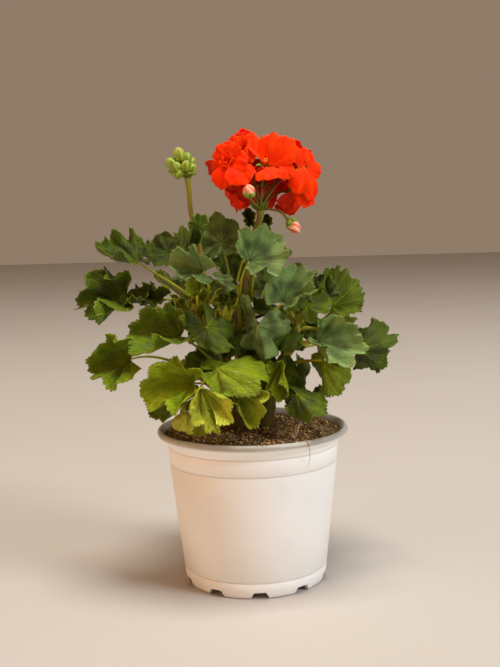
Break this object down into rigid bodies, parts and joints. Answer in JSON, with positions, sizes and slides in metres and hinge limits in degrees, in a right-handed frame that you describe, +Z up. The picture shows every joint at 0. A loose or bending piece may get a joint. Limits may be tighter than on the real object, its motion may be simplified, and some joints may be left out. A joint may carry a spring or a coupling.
{
  "type": "potted geranium",
  "caption": "Zonal geranium with lobed leaves on bent stalks, a round red flower head and a bud cluster, growing in a round plastic nursery pot.",
  "frame": {"origin": "centre of the pot's underside, on the surface that the pot stands on", "axes": "+Z up, +X to the viewer's right as seen in the picture, -Y towards the viewer"},
  "size_m": [0.2151, 0.1691, 0.3057],
  "materials": {
    "pot_plastic": "satin",
    "soil": "matte",
    "foliage": "matte",
    "stalk": "matte",
    "petal": "satin",
    "bud": "matte",
    "coral": "satin"
  },
  "bodies": {
    "root": {"flower_pot": "pot_plastic", "potting_soil": "soil", "leafy_stem_left": "foliage", "leafy_stem_main": "foliage", "leafy_stem_right": "foliage", "leafy_stem_back": "foliage", "bloom_stalk": "stalk", "bloom_petals": "petal", "bud_stalk": "bud", "coral_bud_high": "coral", "coral_bud_low": "coral"}
  },
  "joints": []
}
